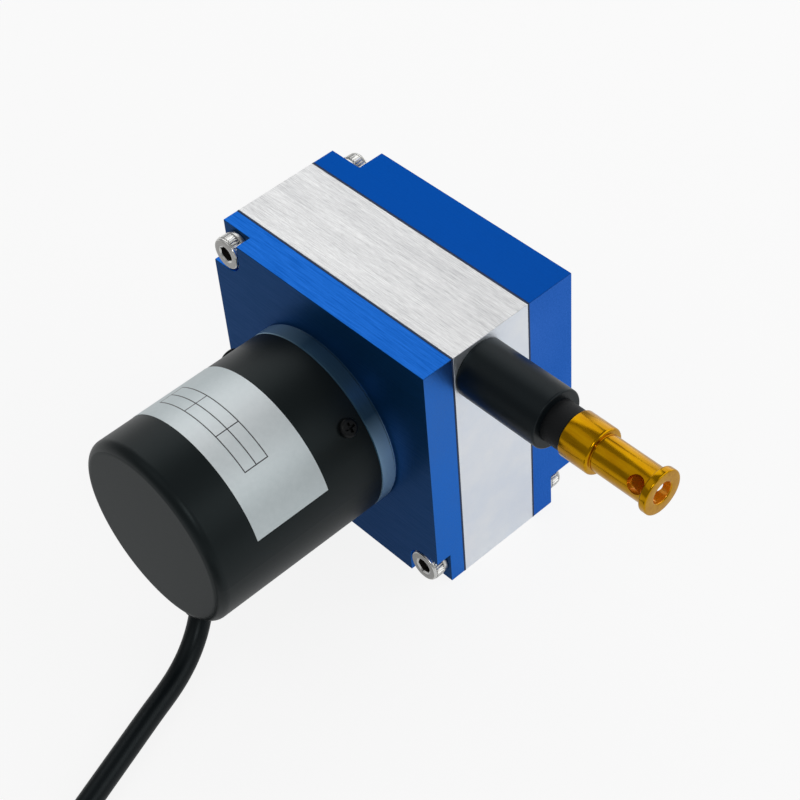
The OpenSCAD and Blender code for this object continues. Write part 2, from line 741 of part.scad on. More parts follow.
module board_screws() color("silver") spindle() around(board_pillar_angles, pillar_at)
    translate([0, 0, board_back])
        pan_screw(small_screw_d, board_t + small_reach, 2 * small_head_r, small_head_h);

// ---- wire and terminal ----

module draw_wire() color("silver") outlet(0) cylinder(d = wire_d, h = ferrule_x, $fn = 24);

module wire_ferrule() color("silver") outlet(ferrule_x) cylinder(r = ferrule_r, h = ferrule_l);

module wire_buffer() color("black") outlet(buffer_x) difference() {
    rotate_extrude() rounded_half(buffer_d / 2, buffer_l, edge);
    disc(wire_hole_r, -cut, buffer_l + cut);
}

module wire_terminal() color("goldenrod") outlet(terminal_x) difference() {
    rotate_extrude() polygon([
        [wire_hole_r, 0], [shoulder_d / 2 - edge, 0], [shoulder_d / 2, edge],
        [shoulder_d / 2, shoulder_l - 2 * edge], [shoulder_d / 2 - 2 * edge, shoulder_l],
        [neck_d / 2, shoulder_l], [neck_d / 2, shoulder_l + neck_l],
        [end_d / 2 - edge, shoulder_l + neck_l], [end_d / 2, shoulder_l + neck_l + edge],
        [end_d / 2, terminal_l - edge], [end_d / 2 - edge, terminal_l],
        [bore_d / 2, terminal_l], [bore_d / 2, socket_end],
        [socket_r, socket_end], [socket_r, floor_t], [wire_hole_r, floor_t]
    ]);
    translate([0, 0, terminal_l - cross_from_end]) rotate([0, 0, cross_angle])
        rotate([90, 0, 0]) cylinder(d = cross_d, h = 2 * shoulder_d, center = true);
}

// ---- cable ----

module cable() color([0.1, 0.1, 0.1]) sweep(cable_route, cable_r, cable_sides, [1, 0, 0]);

// Point at angle a round the coil's centre
function round_coil(a, r, z) = [coil_centre[0] + r * cos(a), coil_centre[1] + r * sin(a), z];

module at_tie() translate([coil_centre[0], coil_centre[1], 0]) rotate([0, 0, tie_angle])
    translate([coil_r, 0, coil_high / 2]) children();

module cable_coil() color([0.1, 0.1, 0.1]) difference() {
    translate([coil_centre[0], coil_centre[1], 0]) rotate_extrude()
        translate([coil_r - coil_wide / 2, 0]) square([coil_wide, coil_high]);
    at_tie() difference() {
        cube([2 * coil_wide, strap_w + 2 * fit, 2 * coil_high], center = true);
        cube([coil_wide - 2 * strap_t, 2 * strap_w, coil_high - 2 * strap_t], center = true);
    }
}

module cable_tie() color("black") at_tie() {
    difference() {
        cube([coil_wide, strap_w, coil_high], center = true);
        cube([coil_wide - 2 * strap_t, 2 * strap_w, coil_high - 2 * strap_t], center = true);
    }
    translate([coil_wide / 2 - 3, 0, coil_high / 2 + 1]) cube([5, strap_w + 1.4, 2], center = true);
}

// The tail rolls down over the coil's outer turn and then hugs the coil
function tail_share(a) = min(1, (a - tail_start) / (tail_down - tail_start));
function tail_ease(s) = s * s * (3 - 2 * s);
tail_route = [for (a = [tail_start:tail_step:tail_end])
    let (over = 90 * tail_ease(tail_share(a)))
    round_coil(a, coil_r + cable_d + cable_d * sin(over), cable_r + cable_d * cos(over))];

module cable_tail() color([0.1, 0.1, 0.1]) sweep(tail_route, cable_r, cable_sides, [0, 0, 1]);

module core_ends() color("red") {
    from = tail_route[len(tail_route) - 1];
    along = heading(tail_route, len(tail_route) - 1);
    across = cross(along, [0, 0, 1]);
    for (s = [-1:1]) sweep([
        from + s * across * core_d * 1.05,
        from + s * across * core_d * 1.05 + along,
        from + s * across * core_d * 1.8 + along * core_reach * 0.4 + [0, 0, -cable_r / 3],
        from + s * across * core_d * 3.5 + along * core_reach + [0, 0, core_d / 2 - cable_r]
    ], core_d / 2, 8, [0, 0, 1]);
}

// Cores from the cable's inner end to the circuit board
module board_leads() color("red") spindle() rotate([0, 0, exit_angle]) {
    reach = sleeve_in + 2 * fit;
    from = [can_r - reach * cos(exit_lean), can_tip - exit_from_tip - reach * sin(exit_lean)];
    for (i = [-1:1]) sweep([
        for (step = lead_bend) [from[0] + step[0], i * lead_pitch, from[1] + step[1]],
        [from[0] + lead_land, i * lead_pitch, board_f - core_d],
        [from[0] + lead_land, i * lead_pitch, board_f]
    ], core_d / 2 - fit, 8, [0, 1, 0]);
}

frame_block();
front_plate();
back_plate();
front_gasket();
back_gasket();
front_screws();
back_screws();
front_washers();
back_washers();
mount_ring();
ring_screws();
can_cover();
can_seal();
can_screws();
wire_guide();
guide_bush();
front_bearing_outer();
front_bearing_balls();
rear_bearing_outer();
rear_bearing_balls();
power_spring();
spring_pin();
spring_cover();
sensor_bracket();
bracket_pillars();
bracket_screws();
potentiometer();
pot_nut();
circuit_board();
board_parts();
board_pillars();
board_screws();
cable_sleeve();
board_leads();
cable();
cable_coil();
cable_tie();
cable_tail();
core_ends();
drum();
wound_wire();
drum_set_screw();
spindle_shaft();
shaft_clip();
front_bearing_inner();
rear_bearing_inner();
spring_arbor();
coupling();
coupling_screws();
pot_shaft();
draw_wire();
wire_ferrule();
wire_buffer();
wire_terminal();
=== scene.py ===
"""Looks of a draw wire encoder: machined blue and plain aluminium, a black can and its cable.

Metres in the shared frame. The unit stands on z = 0, the wire is drawn out along +X
and the can points along -Y.
"""

import json
import math

import bmesh
import bpy
from mathutils import Matrix, Vector


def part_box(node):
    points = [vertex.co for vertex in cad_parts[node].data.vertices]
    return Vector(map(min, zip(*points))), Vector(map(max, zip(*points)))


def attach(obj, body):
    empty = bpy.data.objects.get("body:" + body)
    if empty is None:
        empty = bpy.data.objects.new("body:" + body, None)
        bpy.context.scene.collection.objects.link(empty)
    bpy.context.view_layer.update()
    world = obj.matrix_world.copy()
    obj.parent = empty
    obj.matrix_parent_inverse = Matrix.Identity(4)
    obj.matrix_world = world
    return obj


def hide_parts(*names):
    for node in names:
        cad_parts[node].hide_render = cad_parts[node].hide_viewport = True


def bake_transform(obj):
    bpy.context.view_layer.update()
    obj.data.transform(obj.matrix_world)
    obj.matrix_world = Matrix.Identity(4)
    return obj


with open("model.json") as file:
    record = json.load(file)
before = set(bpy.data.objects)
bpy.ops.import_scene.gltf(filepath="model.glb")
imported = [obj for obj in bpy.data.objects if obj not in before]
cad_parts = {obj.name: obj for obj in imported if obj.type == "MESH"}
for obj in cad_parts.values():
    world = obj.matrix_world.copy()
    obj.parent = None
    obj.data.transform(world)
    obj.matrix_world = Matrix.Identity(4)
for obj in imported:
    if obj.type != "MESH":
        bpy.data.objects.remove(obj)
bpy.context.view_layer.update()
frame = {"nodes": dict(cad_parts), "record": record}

MM = 0.001
MICRON = 0.001 * MM
nodes = frame["nodes"]
slot_of = {part["node"]: part["material_slot"] for part in frame["record"]["subparts"]}
scene = bpy.context.scene


# ---- places, all taken from the frame ----

housing_low, housing_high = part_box("frame_block")
can_low, can_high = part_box("can_cover")
terminal_low, terminal_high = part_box("wire_terminal")
wire_low, wire_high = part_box("draw_wire")

AXIS_Z = (housing_low.z + housing_high.z) / 2       # height of the spindle axis
CAN_R = (can_high.x - can_low.x) / 2
OUTLET_Y = (terminal_low.y + terminal_high.y) / 2
OUTLET_Z = (terminal_low.z + terminal_high.z) / 2
HEAD_R = 3.5 * MM
SCREW_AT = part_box("front_screws")[1].x - HEAD_R     # plate screws from the spindle axis


# ---- camera ----

CAMERA_AT = (0.218285, -0.177984, 0.312179)
CAMERA_LOOK = (-0.5357, 0.4417, -0.7196)
CAMERA_UP = (-0.4957, 0.5255, 0.6915)
CAMERA_LENS = 89.63     # mm of focal length, for a sensor of that width in mm
SENSOR_WIDTH = 36

camera_data = bpy.data.cameras.new("camera")
camera_data.lens = CAMERA_LENS
camera_data.sensor_width = SENSOR_WIDTH
camera_data.clip_start, camera_data.clip_end = 0.01, 20
camera = bpy.data.objects.new("camera", camera_data)
scene.collection.objects.link(camera)
scene.camera = camera
look = Vector(CAMERA_LOOK).normalized()
across = look.cross(Vector(CAMERA_UP)).normalized()
above = across.cross(look)
camera.matrix_world = Matrix.Translation(CAMERA_AT) @ Matrix(
    (across, above, -look)).transposed().to_4x4()


# ---- meshes ----

SHARP = 35      # degrees between two faces from which their edge looks sharp
ARC_STEPS = 6   # in a rounded corner


def mesh_of(name, verts, faces):
    mesh = bpy.data.meshes.new(name)
    mesh.from_pydata([tuple(v) for v in verts], [], faces)
    return mesh


def shade(mesh, sharp):
    """Faces outwards, smooth shading and sharp edges over that angle."""
    work = bmesh.new()
    work.from_mesh(mesh)
    bmesh.ops.recalc_face_normals(work, faces=work.faces)
    work.to_mesh(mesh)
    work.free()
    mesh.shade_smooth()
    mesh.set_sharp_from_angle(angle=math.radians(sharp))


def dress(name, mesh, finish, body, sharp=SHARP):
    """A new piece with its finish and shading, riding on its body."""
    obj = bpy.data.objects.new(name, mesh)
    scene.collection.objects.link(obj)
    mesh.materials.clear()
    mesh.materials.append(finish)
    shade(mesh, sharp)
    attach(obj, body)
    return obj


def piece(name, parts, finish, body, sharp=SHARP):
    """A new piece from one or more (verts, faces) parts."""
    verts, faces = [], []
    for part_verts, part_faces in parts:
        faces += [tuple(i + len(verts) for i in face) for face in part_faces]
        verts += part_verts
    mesh = mesh_of(name, verts, faces)
    mesh.validate()
    return dress(name, mesh, finish, body, sharp)


def turned(profile, place, steps=128):
    """Verts and faces of a closed profile of (along, radius) points turned round an axis.

    The place function gives the point at (along, radius, angle). A radius may be a function
    of the angle, as in knurling or a hexagon socket. A profile that starts and ends on the
    axis closes there.
    """
    on_axis = profile[0][1] == 0
    rings = profile[1:-1] if on_axis else profile
    verts, faces = [], []
    for along, radius in rings:
        for i in range(steps):
            angle = 2 * math.pi * i / steps
            verts.append(place(along, radius(angle) if callable(radius) else radius, angle))
    count = len(rings)
    for j in range(count - 1 if on_axis else count):
        for i in range(steps):
            a, b = j * steps + i, j * steps + (i + 1) % steps
            c, d = (j + 1) % count * steps + (i + 1) % steps, (j + 1) % count * steps + i
            faces.append((a, b, c, d))
    if on_axis:
        for end, ring in ((0, 0), (-1, count - 1)):
            verts.append(place(profile[end][0], 0, 0))
            faces += [(len(verts) - 1, ring * steps + i, ring * steps + (i + 1) % steps)
                      for i in range(steps)]
    return verts, faces


def rounded(corners):
    """Closed outline with its corners rounded: corners are (along, radius, rounding)."""
    points = []
    count = len(corners)
    for i, (along, radius, rounding) in enumerate(corners):
        here = Vector((along, radius))
        if rounding == 0:
            points.append(tuple(here))
            continue
        before = (Vector(corners[i - 1][:2]) - here).normalized()
        after = (Vector(corners[(i + 1) % count][:2]) - here).normalized()
        half = before.angle(after) / 2
        reach = rounding / math.tan(half)
        centre = here + (before + after).normalized() * rounding / math.sin(half)
        start, end = here + before * reach - centre, here + after * reach - centre
        turn = start.angle_signed(end)
        for k in range(ARC_STEPS + 1):
            step = Matrix.Rotation(-turn * k / ARC_STEPS, 2) @ start
            points.append(tuple(centre + step))
    return points


def smooth_line(points, per_span=4):
    """Points along one smooth curve through the given points."""
    line = []
    for i in range(len(points) - 1):
        p0, p1 = points[max(i - 1, 0)], points[i]
        p2, p3 = points[i + 1], points[min(i + 2, len(points) - 1)]
        for k in range(per_span):
            t = k / per_span
            line.append(0.5 * (2 * p1 + (p2 - p0) * t + (2 * p0 - 5 * p1 + 4 * p2 - p3) * t ** 2
                               + (3 * p1 - p0 - 3 * p2 + p3) * t ** 3))
    line.append(points[-1])
    return line


def swept(line, radius, sides):
    """Verts and faces of a round section carried along a line, with its ends closed."""
    turns = [2 * math.pi * k / sides for k in range(sides)]
    section = [(radius * math.cos(turn), radius * math.sin(turn)) for turn in turns]
    verts, faces = [], []
    side = None
    for i, point in enumerate(line):
        ahead = (line[min(i + 1, len(line) - 1)] - line[max(i - 1, 0)]).normalized()
        if side is None:
            side = ahead.cross(Vector((0, 0, 1)))
        side = (side - ahead * side.dot(ahead)).normalized()
        up = side.cross(ahead)
        verts += [point + side * x + up * y for x, y in section]
    for i in range(len(line) - 1):
        for k in range(sides):
            a, b = i * sides + k, i * sides + (k + 1) % sides
            faces.append((a, b, b + sides, a + sides))
    last = (len(line) - 1) * sides
    faces += [tuple(range(sides))[::-1], tuple(range(last, last + sides))]
    return verts, faces


def drilled(obj, start, end, radius):
    """Cuts a round hole through a piece."""
    mesh = mesh_of("drill", *swept([start, end], radius, sides=48))
    shade(mesh, SHARP)
    drill = bpy.data.objects.new("drill", mesh)
    scene.collection.objects.link(drill)
    cut = obj.modifiers.new("cut", "BOOLEAN")
    cut.operation, cut.solver, cut.object = "DIFFERENCE", "EXACT", drill
    bpy.context.view_layer.update()
    graph = bpy.context.evaluated_depsgraph_get()
    cut_mesh = bpy.data.meshes.new_from_object(obj.evaluated_get(graph))
    obj.modifiers.clear()
    obj.data = cut_mesh
    bpy.data.objects.remove(drill)
    shade(cut_mesh, SHARP)


def block(low_corner, x_dir, y_dir, size, round_by):
    """Mesh of a block with rounded edges, from a corner and two flat directions."""
    work = bmesh.new()
    bmesh.ops.create_cube(work, size=1)
    z_dir = x_dir.cross(y_dir)
    for v in work.verts:
        x, y, z = (c + 0.5 for c in v.co)
        v.co = low_corner + x_dir * x * size[0] + y_dir * y * size[1] + z_dir * z * size[2]
    bmesh.ops.bevel(work, geom=work.edges[:], offset=round_by, segments=3,
                    affect="EDGES", clamp_overlap=True)
    mesh = bpy.data.meshes.new("block")
    work.to_mesh(mesh)
    work.free()
    return mesh


# ---- finishes: how they are written ----


class Value:
    """A shader socket that takes part in sums, so that masks read as formulas."""

    def __init__(self, tree, socket):
        self.tree, self.socket = tree, socket

    def math(self, operation, *values):
        node = self.tree.nodes.new("ShaderNodeMath")
        node.operation = operation
        for slot, value in zip(node.inputs, values):
            if isinstance(value, Value):
                self.tree.links.new(value.socket, slot)
            else:
                slot.default_value = value
        return Value(self.tree, node.outputs[0])

    def __add__(self, other):
        return self.math("ADD", self, other)

    def __radd__(self, other):
        return self.math("ADD", other, self)

    def __sub__(self, other):
        return self.math("SUBTRACT", self, other)

    def __rsub__(self, other):
        return self.math("SUBTRACT", other, self)

    def __mul__(self, other):
        return self.math("MULTIPLY", self, other)

    def __rmul__(self, other):
        return self.math("MULTIPLY", other, self)

    def __truediv__(self, other):
        return self.math("DIVIDE", self, other)

    def __rtruediv__(self, other):
        return self.math("DIVIDE", other, self)

    def __lt__(self, other):
        return self.math("LESS_THAN", self, other)

    def __gt__(self, other):
        return self.math("GREATER_THAN", self, other)

    def size(self):
        return self.math("ABSOLUTE", self)

    def squared(self):
        return self * self

    def at_least(self, other):
        return self.math("MAXIMUM", self, other)

    def at_most(self, other):
        return self.math("MINIMUM", self, other)


class Finish:
    """One material: its nodes, and the shader that they feed."""

    def __init__(self, name, colour, metallic=0.0, roughness=0.5, specular=0.5, tint=(1, 1, 1)):
        self.material = bpy.data.materials.new(name)
        self.material.use_nodes = True
        self.tree = self.material.node_tree
        self.shader = self.tree.nodes["Principled BSDF"]
        self.set("Base Color", (*colour, 1))
        self.set("Metallic", metallic)
        self.set("Roughness", roughness)
        self.set("Specular IOR Level", specular)
        self.set("Specular Tint", (*tint, 1))
        self.spot = self.node("ShaderNodeTexCoord", out="Object")

    def set(self, name, value):
        if isinstance(value, Value):
            self.tree.links.new(value.socket, self.shader.inputs[name])
        else:
            self.shader.inputs[name].default_value = value

    def node(self, kind, settings=(), values=(), out=0):
        """Any node: its settings first, then the values or links of its sockets."""
        node = self.tree.nodes.new(kind)
        for name, value in dict(settings).items():
            setattr(node, name, value)
        for name, value in dict(values).items():
            if isinstance(value, Value):
                self.tree.links.new(value.socket, node.inputs[name])
            else:
                node.inputs[name].default_value = value
        return Value(self.tree, node.outputs[out])

    def axis(self, index, of=None):
        """X, Y or Z of a vector, which is the place on the object if none is given."""
        return self.node("ShaderNodeSeparateXYZ", values={0: of or self.spot}, out=index)

    def normal(self, index):
        """X, Y or Z of the direction that the surface faces."""
        return self.axis(index, self.node("ShaderNodeTexCoord", out="Normal"))

    def facing(self, index):
        """How squarely the surface faces along one axis, either way, from 0 to 1."""
        return self.normal(index).size()

    def grain(self, stretch, detail=3, roughness=0.6):
        """Noise with that many grains per metre along X, Y and Z, from 0 to 1."""
        spot = self.node("ShaderNodeVectorMath", {"operation": "MULTIPLY"},
                         {0: self.spot, 1: Vector(stretch)})
        return self.node("ShaderNodeTexNoise", {}, {
            "Vector": spot, "Scale": 1.0, "Detail": detail, "Roughness": roughness})

    def mixed(self, share, first, second):
        """Colour between two colours."""
        return self.node("ShaderNodeMix", {"data_type": "RGBA"}, {
            0: share, 6: first if isinstance(first, Value) else (*first, 1),
            7: second if isinstance(second, Value) else (*second, 1)}, out=2)

    def rough(self, height, depth, strength):
        """Relief on the surface, depth in microns."""
        self.set("Normal", self.node("ShaderNodeBump", {}, {
            "Height": height, "Distance": depth * MICRON, "Strength": strength}))


def between(value, low, high):
    """A finish value from low to high as a grain goes from 0 to 1."""
    return value * (high - low) + low


def contrast(value, gain):
    """Spreads a grain about its middle and keeps it from 0 to 1."""
    return ((value - 0.5) * gain + 0.5).at_least(0).at_most(1)


# ---- finishes: one function for each kind ----

SQUARE_ON = 0.8     # a surface that faces along an axis this squarely is an end or a flat face


def brushed(name, colour, shadow, side, roughness):
    """Rolled and brushed metal with scratches along X, and its ends painted darker and bluer as
    painted shade and painted reflection.
    """
    f = Finish(name, colour, 1, roughness)
    long_scratch = f.grain((55, 1500, 1500), 4, 0.75)
    short_scratch = f.grain((380, 5200, 5200), 2, 0.6)
    cloud = f.grain((28, 90, 90), 3, 0.6)
    scratch = contrast(long_scratch * 0.4 + short_scratch * 0.35 + cloud * 0.25, 4.4)
    face = f.mixed(scratch, shadow, colour)
    # painted shade with a bluish painted reflection on the ends that face along X
    end = f.mixed(cloud, side, colour)
    f.set("Base Color", f.mixed(f.facing(0) > SQUARE_ON, face, end))
    f.set("Roughness", between(scratch, roughness - 0.1, roughness + 0.12))
    f.rough(scratch, 50, 0.5)
    return f.material


def anodised(name, colour, deep, side, face, roughness, brushing):
    """Dyed anodised aluminium: edges brushed along X, ends lighter as painted light, and flat faces
    darker and less metallic as painted shade.
    """
    f = Finish(name, colour, 0.96, roughness, 0.15, (0.3, 0.55, 1))
    scratch = contrast(f.grain((130, 2600, 2600), 3, 0.65), 2.8)
    speck = f.grain((2600, 2600, 2600), 2, 0.5)
    cloud = f.grain((60, 60, 60), 2, 0.5)
    edge = f.mixed(scratch * brushing + speck * (1 - brushing), deep, colour)
    # painted light: the ends that face along X get a lighter colour
    end = f.mixed(cloud * 0.5 + speck * 0.5, side, colour)
    # painted shade: the flat faces along Y get a dark navy colour and less metal
    painted_shade_faces = f.facing(1) > SQUARE_ON
    f.set("Base Color", f.mixed(painted_shade_faces, f.mixed(f.facing(0) > SQUARE_ON, edge, end), face))
    f.set("Metallic", between(painted_shade_faces, 0.96, 0.6))
    f.set("Roughness", between(scratch, roughness - 0.06, roughness + 0.08))
    f.rough(scratch * 0.7 + speck * 0.3, 30, 0.4)
    return f.material


def painted(name, colour, light, roughness, grains, depth, specular=0.5, tint=(1, 1, 1)):
    """Fine textured paint, rubber or moulded plastic."""
    f = Finish(name, colour, 0, roughness, specular, tint)
    grit = f.grain((grains, grains, grains), 3, 0.6)
    cloud = f.grain((70, 70, 70), 2, 0.5)
    f.set("Base Color", f.mixed(grit * 0.5 + cloud * 0.5, colour, light))
    f.set("Roughness", between(grit, roughness - 0.07, roughness + 0.08))
    f.rough(grit, depth, 0.6)
    return f.material


def turned_metal(name, colour, dark, roughness, metallic=1.0):
    """Turned metal with fine tool marks round its axis."""
    f = Finish(name, colour, metallic, roughness)
    mark = f.grain((9000, 300, 300), 2, 0.5)
    cloud = f.grain((180, 180, 180), 2, 0.5)
    f.set("Base Color", f.mixed(mark * 0.5 + cloud * 0.5, dark, colour))
    f.set("Roughness", between(mark, roughness - 0.05, roughness + 0.07))
    f.rough(mark, 10, 0.35)
    return f.material


def gold_anodised():
    """Bright gold anodising, with painted light inside the terminal's holes: a lighter, less metallic
    orange gold there.
    """
    gold = Finish("gold_anodised", (0.6, 0.3, 0.0025), 1, 0.17)
    mark = gold.grain((300, 1500, 1500), 3, 0.6)
    cloud = gold.grain((180, 180, 180), 2, 0.5)
    off_axis = (gold.axis(1) - OUTLET_Y).squared() + (gold.axis(2) - OUTLET_Z).squared()
    inside_neck = 3.5 * MM
    # painted light inside the holes: a lighter, less metallic orange gold
    hole_painted_light = (off_axis < inside_neck ** 2) * (gold.facing(0) < 0.6)
    band = contrast(mark * 0.6 + cloud * 0.4, 2)
    skin = gold.mixed(band, (0.4, 0.17, 0.0013), (0.62, 0.33, 0.0025))
    gold.set("Base Color", gold.mixed(hole_painted_light, skin, (0.85, 0.34, 0.01)))
    gold.set("Metallic", between(hole_painted_light, 1, 0.45))
    gold.set("Roughness", between(mark, 0.12, 0.24))
    gold.rough(mark, 6, 0.3)
    return gold.material


def blue_ring():
    """The can's ring: dark blue towards the front, with pale painted highlights at both sides of its
    round.
    """
    ring = Finish("blue_ring", (0.1, 0.2, 0.32), 0.6, 0.32)
    mark = ring.grain((300, 9000, 300), 2, 0.5)
    side = ring.normal(0)
    # painted highlights: pale blue at both sides of the round, by which way the surface faces along X
    pale = (contrast(side - 0.39, 5.5) + contrast(0.25 - side, 2.2) * 0.6).at_most(1)
    dark = ring.mixed(mark, (0.03, 0.085, 0.145), (0.06, 0.14, 0.22))
    ring.set("Base Color", ring.mixed(pale, dark, (0.5, 0.78, 1)))
    ring.rough(mark, 10, 0.35)
    return ring.material


def screw_steel():
    """Bright cap screw with painted shade on its flat end."""
    bright = Finish("screw_steel", (0.7, 0.7, 0.68), 1, 0.25)
    mark = bright.grain((900, 4000, 900), 2, 0.5)
    side = bright.mixed(mark, (0.62, 0.62, 0.6), (0.86, 0.86, 0.84))
    # painted shade: a darker colour on the flat ends along Y
    painted_shade_end = bright.facing(1) > 0.9
    bright.set("Base Color", bright.mixed(painted_shade_end, side, (0.38, 0.375, 0.36)))
    bright.set("Roughness", between(mark, 0.2, 0.34))
    bright.rough(mark, 4, 0.2)
    return bright.material


# ---- finishes: what each slot gets ----

# Light and dark colour, roughness, and how metallic where it isn't all metal
TURNED_METALS = {
    "plain_aluminium": ((0.72, 0.73, 0.74), (0.55, 0.56, 0.57), 0.35),
    "stainless_steel": ((0.62, 0.61, 0.59), (0.42, 0.41, 0.4), 0.28),
    "bearing_steel": ((0.66, 0.66, 0.67), (0.5, 0.5, 0.51), 0.15),
    "spring_steel": ((0.25, 0.29, 0.36), (0.16, 0.19, 0.25), 0.3),
    "brass": ((0.7, 0.5, 0.2), (0.5, 0.34, 0.12), 0.3),
    # painted shade inside the hexagon sockets
    "socket_painted_shade": ((0.05, 0.045, 0.04), (0.025, 0.022, 0.02), 0.4, 0.6)}

# Dark and light colour, roughness, grains per metre, relief in microns, then gloss and its tint
PAINTS_AND_PLASTICS = {
    "gasket_fibre": ((0.012, 0.03, 0.08), (0.02, 0.045, 0.11), 0.7, 1800, 30),
    "black_screw_steel": ((0.002, 0.003, 0.0035), (0.005, 0.006, 0.007), 0.4, 3000, 10, 0.2),
    "black_can": ((0.004, 0.0065, 0.0072), (0.0075, 0.01, 0.011), 0.38, 4200, 10, 0.22,
                  (0.8, 0.97, 1)),
    # painted shade: a darker, less glossy copy of the can's paint for its flat end
    "can_end": ((0.0035, 0.006, 0.0068), (0.0065, 0.0095, 0.0105), 0.42, 4200, 10, 0.14,
                (0.7, 0.97, 1)),
    "black_guide": ((0.002, 0.004, 0.0055), (0.005, 0.0075, 0.0095), 0.36, 3800, 10, 0.22,
                    (0.8, 0.95, 1)),
    "ceramic": ((0.72, 0.7, 0.64), (0.78, 0.76, 0.71), 0.25, 2500, 4),
    "potentiometer_body": ((0.01, 0.03, 0.12), (0.02, 0.05, 0.17), 0.4, 2200, 10),
    "circuit_board": ((0.01, 0.12, 0.05), (0.02, 0.17, 0.08), 0.35, 1500, 10),
    "board_components": ((0.015, 0.015, 0.017), (0.03, 0.03, 0.032), 0.45, 3000, 10),
    "black_rubber": ((0.0025, 0.0035, 0.0045), (0.006, 0.007, 0.0085), 0.6, 3200, 20, 0.25),
    "cable_jacket": ((0.002, 0.0035, 0.0045), (0.0045, 0.007, 0.0085), 0.36, 3600, 12, 0.2,
                     (0.85, 0.97, 1)),
    "tie_nylon": ((0.012, 0.012, 0.013), (0.02, 0.02, 0.022), 0.5, 2600, 10),
    "core_insulation": ((0.5, 0.02, 0.015), (0.6, 0.03, 0.02), 0.4, 2600, 10),
    "core_red": ((0.45, 0.012, 0.01), (0.6, 0.02, 0.015), 0.4, 2600, 10),
    "core_black": ((0.008, 0.008, 0.009), (0.02, 0.02, 0.022), 0.4, 2600, 10),
    "core_yellow": ((0.62, 0.42, 0.01), (0.75, 0.53, 0.02), 0.4, 2600, 10)}

# Painted shade for the plates' flat faces along Y
PLATE_FACE_PAINTED_SHADE = (0.004, 0.048, 0.145)

finishes = {name: turned_metal(name, *recipe) for name, recipe in TURNED_METALS.items()}
finishes |= {name: painted(name, *recipe) for name, recipe in PAINTS_AND_PLASTICS.items()}
finishes["gold_anodised"] = gold_anodised()
finishes["screw_steel"] = screw_steel()
finishes["blue_ring"] = blue_ring()
# colour, deep brushing tone, painted light for the ends, painted shade for the flat faces, roughness
# and share of brushing
finishes["blue_anodised"] = anodised(
    "blue_anodised", (0.005, 0.078, 0.38), (0.0028, 0.052, 0.29), (0.085, 0.23, 0.76),
    PLATE_FACE_PAINTED_SHADE, 0.34, 0.4)
finishes["blue_brushed"] = anodised(
    "blue_brushed", (0.024, 0.185, 0.72), (0.004, 0.075, 0.37), (0.075, 0.18, 0.5),
    PLATE_FACE_PAINTED_SHADE, 0.36, 0.75)
# the third colour is painted shade with a bluish painted reflection, for the ends
finishes["brushed_aluminium"] = brushed(
    "brushed_aluminium", (0.98, 0.985, 0.985), (0.46, 0.465, 0.475), (0.72, 0.8, 0.92), 0.42)


# ---- the frame's own nodes ----

for name, node in nodes.items():
    node.data.materials.clear()
    node.data.materials.append(finishes[slot_of[name]])
    node.data.shade_smooth()
    node.data.set_sharp_from_angle(angle=math.radians(30))
nodes["mount_ring"].data.materials[0] = finishes["blue_ring"]

CAN_END_FACING = 0.97       # the can's round shoulder starts where it faces the end less squarely
# The can's flat end gets its darker, less glossy copy of the paint: painted shade.
can_mesh = nodes["can_cover"].data
can_mesh.materials.append(finishes["can_end"])
for polygon in can_mesh.polygons:
    if polygon.normal.y < -CAN_END_FACING:
        polygon.material_index = 1


# ---- plates and frame block ----

KEPT_ROUND_SCREWS = 3 * MM      # edges this near to a screw or inside the can's ring stay sharp
KEPT_ROUND_AXIS = 22 * MM
OUTER_EDGE = math.radians(50)   # an edge is broken where its two faces turn by more than this


def machined(node, broken_edge, finish):
    """A plate or block from the frame with its outer edges broken."""
    work = bmesh.new()
    work.from_mesh(nodes[node].data)
    bmesh.ops.remove_doubles(work, verts=work.verts, dist=MICRON)
    bmesh.ops.dissolve_limit(work, angle_limit=math.radians(1), verts=work.verts, edges=work.edges)
    edges = []
    for edge in work.edges:
        middle = (edge.verts[0].co + edge.verts[1].co) / 2
        x, z = middle.x, middle.z - AXIS_Z
        near_screw = math.hypot(abs(x) - SCREW_AT, abs(z) - SCREW_AT) < KEPT_ROUND_SCREWS
        near_axis = math.hypot(x, z) <= KEPT_ROUND_AXIS
        if edge.is_manifold and edge.calc_face_angle() > OUTER_EDGE and not (near_axis or near_screw):
            edges.append(edge)
    bmesh.ops.bevel(work, geom=edges, offset=broken_edge, segments=2, profile=0.5,
                    affect="EDGES", clamp_overlap=False)
    mesh = bpy.data.meshes.new(node)
    work.to_mesh(mesh)
    work.free()
    obj = dress(node + "_machined", mesh, finish, "housing", 15)
    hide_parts(node)


machined("front_plate", 0.1 * MM, finishes["blue_brushed"])
machined("back_plate", 0.1 * MM, finishes["blue_anodised"])
machined("frame_block", 0.08 * MM, finishes["brushed_aluminium"])


# ---- cap screws with low heads, on spring washers ----

SHANK_R, SHANK_L = 2 * MM, 12 * MM
SHANK_BEVEL = 0.5 * MM
HEAD_H = 2.7 * MM
FOOT_BEVEL = 0.35 * MM
KNURLS = 36
KNURL_DEPTH = 0.24 * MM
KNURL_RIDGE = 0.3               # share of each half knurl that is flat
KNURL_FROM, KNURL_TO = 0.26 * MM, 1.86 * MM
GROOVE_R = HEAD_R - 0.26 * MM
RIM_R = HEAD_R - 0.12 * MM
SOCKET_FLATS = 3 * MM
SOCKET_FLOOR = 1.3 * MM
SOCKET_R = 1.78 * MM            # just past the socket's corners
SOCKET_MIDDLE = 1.4 * MM        # within the socket's flats
SOCKET_WALL = 0.3               # a face that looks along Y less than this is a side wall
SCREW_SHARP = 28
